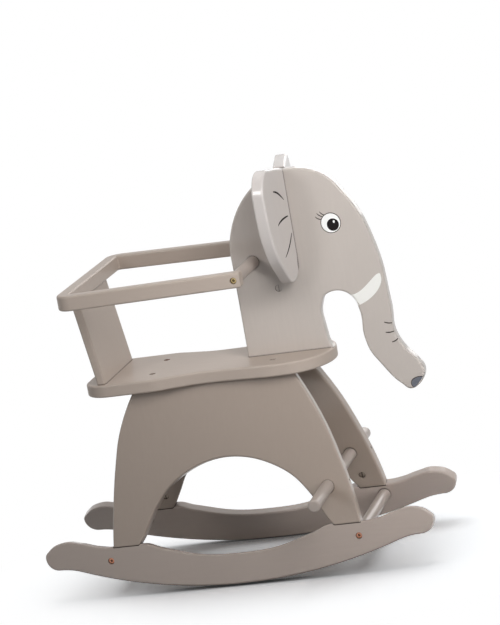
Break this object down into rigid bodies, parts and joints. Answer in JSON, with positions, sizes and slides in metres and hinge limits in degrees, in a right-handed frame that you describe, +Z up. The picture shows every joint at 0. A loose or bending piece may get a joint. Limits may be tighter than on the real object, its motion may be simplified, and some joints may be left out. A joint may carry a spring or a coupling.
{
  "type": "wooden ride-on rocking elephant",
  "caption": "Child's wooden rocking elephant with a seat, backrest, ring guard, footrest bar, splayed legs and two rockers.",
  "frame": {"origin": "on the floor, under the middle of the level toy, between the two rockers' lowest points", "axes": "+X forward, towards the trunk; +Y to the elephant's left; +Z up"},
  "size_m": [0.5776, 0.384, 0.579],
  "materials": {
    "lacquer": "satin taupe-grey lacquer on wood",
    "ear_lacquer": "satin light grey lacquer on wood",
    "copper_steel": "dark copper plating",
    "nut_steel": "zinc plated",
    "bare_pin": "bare beech"
  },
  "bodies": {
    "root": {"right_rocker": "lacquer", "left_rocker": "lacquer", "right_leg_panel": "lacquer", "left_leg_panel": "lacquer", "seat_board": "lacquer", "head_panel": "lacquer", "right_ear": "ear_lacquer", "left_ear": "ear_lacquer", "backrest_panel": "lacquer", "seat_ring": "lacquer", "ring_crossbar": "lacquer", "footrest_dowel": "lacquer", "front_spreader": "lacquer", "rear_spreader": "lacquer", "spreader_bolts": "copper_steel", "ring_arm_bolts": "copper_steel", "rocker_bolts": "nut_steel", "rocker_bolt_nuts": "nut_steel", "foot_pins": "bare_pin", "seat_bolts": "copper_steel", "seat_bolt_nuts": "nut_steel", "head_bolt": "nut_steel", "head_bolt_nut": "lacquer", "head_pins": "bare_pin", "ear_pins": "bare_pin", "backrest_screws": "nut_steel", "ring_pins": "bare_pin", "footrest_lock_screws": "copper_steel"}
  },
  "joints": []
}
